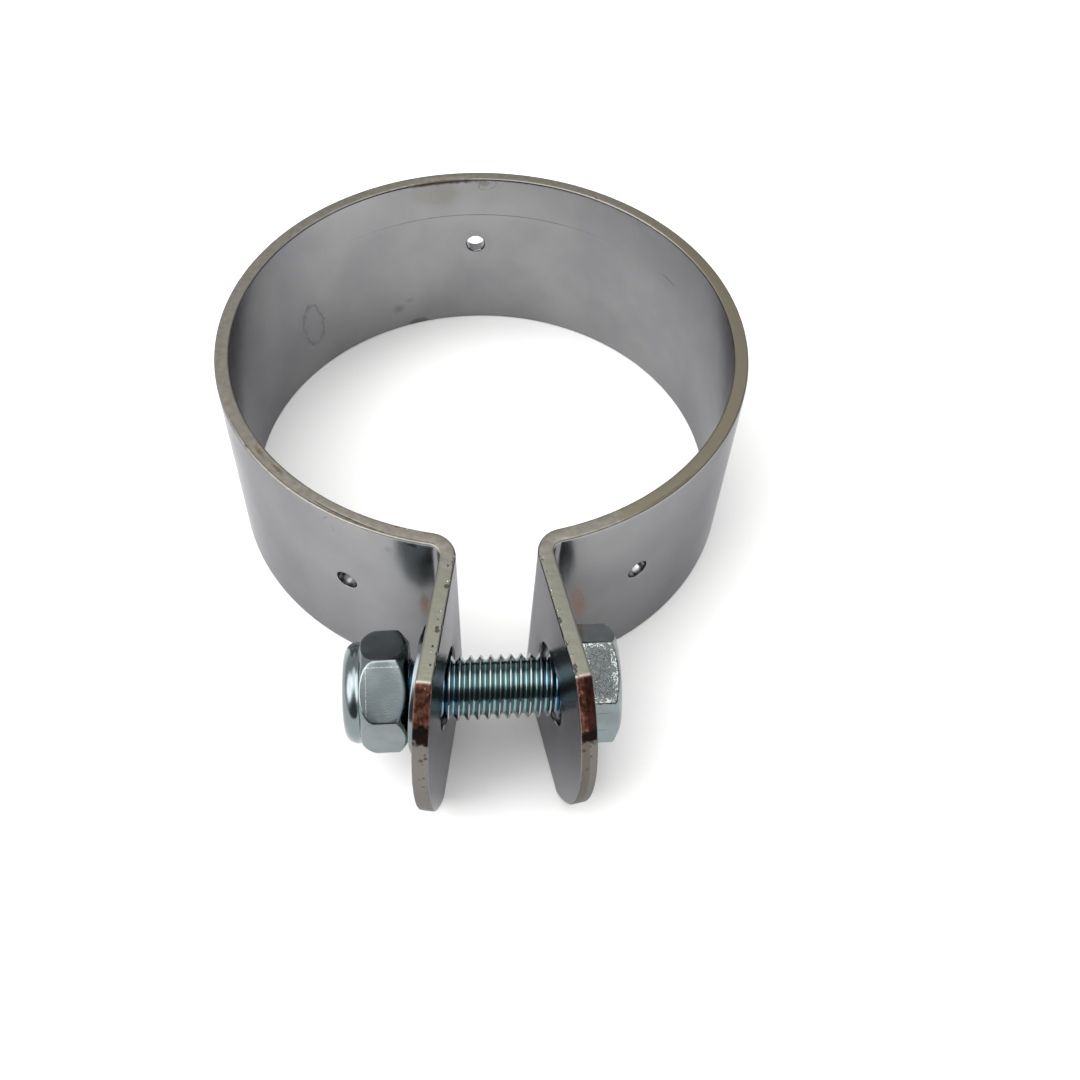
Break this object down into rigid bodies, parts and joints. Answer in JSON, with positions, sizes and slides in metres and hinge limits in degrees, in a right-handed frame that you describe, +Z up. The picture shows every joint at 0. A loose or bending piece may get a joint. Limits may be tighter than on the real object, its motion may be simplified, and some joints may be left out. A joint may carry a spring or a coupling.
{
  "type": "exhaust clamp",
  "caption": "Open ring clamp of plated steel strip with two outward ears, drawn together by a bolt, washer and lock nut to grip an exhaust pipe.",
  "frame": {"origin": "on the ring's axis, in the plane of its lower rim", "axes": "+Z up along the ring's axis, -Y from the ring's axis towards the gap between the ears, +X towards the bolt's head"},
  "size_m": [0.075, 0.0994, 0.03],
  "materials": {
    "clamp_band": "bright plated strip, slightly clouded",
    "hex_bolt": "bright zinc with a blue tint",
    "flat_washer": "bright zinc",
    "lock_nut": "bright zinc with a blue tint",
    "nylon_ring": "natural nylon"
  },
  "bodies": {
    "band": {"clamp_band": "clamp_band"},
    "bolt": {"hex_bolt": "hex_bolt"},
    "washer": {"flat_washer": "flat_washer"},
    "nut": {"lock_nut": "lock_nut", "nylon_ring": "nylon_ring"}
  },
  "joints": [
    {"name": "bolt_turn", "type": "hinge", "parent": "band", "child": "bolt", "pos_m": [0, -0.04785, 0.015], "axis": [1, 0, 0], "continuous": true},
    {"name": "nut_travel", "type": "slide", "parent": "band", "child": "washer", "axis": [-1, 0, 0], "range_m": [0, 0.005]},
    {"name": "nut_turn", "type": "hinge", "parent": "washer", "child": "nut", "pos_m": [0, -0.04785, 0.015], "axis": [-1, 0, 0], "range_deg": [0, 1440]}
  ],
  "couplings": [
    {"joint": "nut_travel", "follows": "nut_turn", "m_per_rad": 0.00019894}
  ]
}
